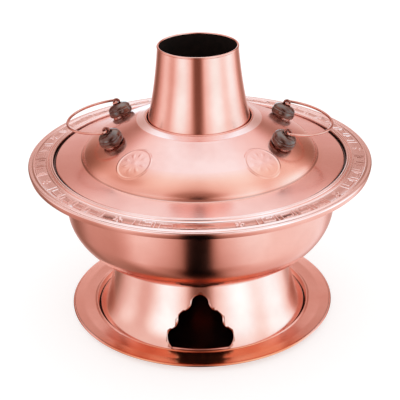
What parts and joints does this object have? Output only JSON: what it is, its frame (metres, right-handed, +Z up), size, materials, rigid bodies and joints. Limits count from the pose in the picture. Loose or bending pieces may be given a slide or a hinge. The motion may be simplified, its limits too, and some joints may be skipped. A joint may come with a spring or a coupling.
{
  "type": "charcoal hot pot with chimney",
  "caption": "Charcoal hot pot: ring-shaped bowl around a tapering chimney, domed lift-off lid with swinging wire bails, patterned rim, flared stand with scalloped fire door, loose tray.",
  "frame": {"origin": "centre of the tray's flat underside, on the chimney's axis", "axes": "+Z up along the chimney; -Y is the front, where the fire door is; the two bails are at +X and -X"},
  "size_m": [0.34, 0.34, 0.2811],
  "materials": {
    "copper": "polished and clear-lacquered",
    "flue_copper": "dull, heat-darkened",
    "iron": "as cast",
    "bronze": "dark antiqued"
  },
  "bodies": {
    "tray_body": {"base_tray": "copper"},
    "pot_body": {"stand": "copper", "bowl": "copper", "rim": "copper", "firebox": "flue_copper", "grate_ledge": "flue_copper", "fire_grate": "iron", "seam_sleeve": "flue_copper", "chimney": "copper"},
    "lid_body": {"lid_dome": "copper", "lid_collar": "copper", "lid_skirt": "copper", "knob_seat_fr": "copper", "knob_seat_rr": "copper", "knob_seat_fl": "copper", "knob_seat_rl": "copper", "knob_fr": "bronze", "knob_rr": "bronze", "knob_fl": "bronze", "knob_rl": "bronze", "eye_fr": "bronze", "eye_rr": "bronze", "eye_fl": "bronze", "eye_rl": "bronze", "knob_nuts": "bronze"},
    "bail_right_body": {"bail_right": "copper"},
    "bail_left_body": {"bail_left": "copper"}
  },
  "joints": [
    {"name": "pot_lift", "type": "slide", "parent": "tray_body", "child": "pot_body", "axis": [0, 0, 1], "range_m": [0, 0.06]},
    {"name": "lid_lift", "type": "slide", "parent": "pot_body", "child": "lid_body", "axis": [0, 0, 1], "range_m": [0, 0.135]},
    {"name": "bail_right_swing", "type": "hinge", "parent": "lid_body", "child": "bail_right_body", "pos_m": [0.08631, -0.00573, 0.20746], "axis": [-0.0663, -0.9978, 0], "range_deg": [0, 150]},
    {"name": "bail_left_swing", "type": "hinge", "parent": "lid_body", "child": "bail_left_body", "pos_m": [-0.08631, 0.00573, 0.20746], "axis": [0.0663, 0.9978, 0], "range_deg": [0, 150]}
  ]
}
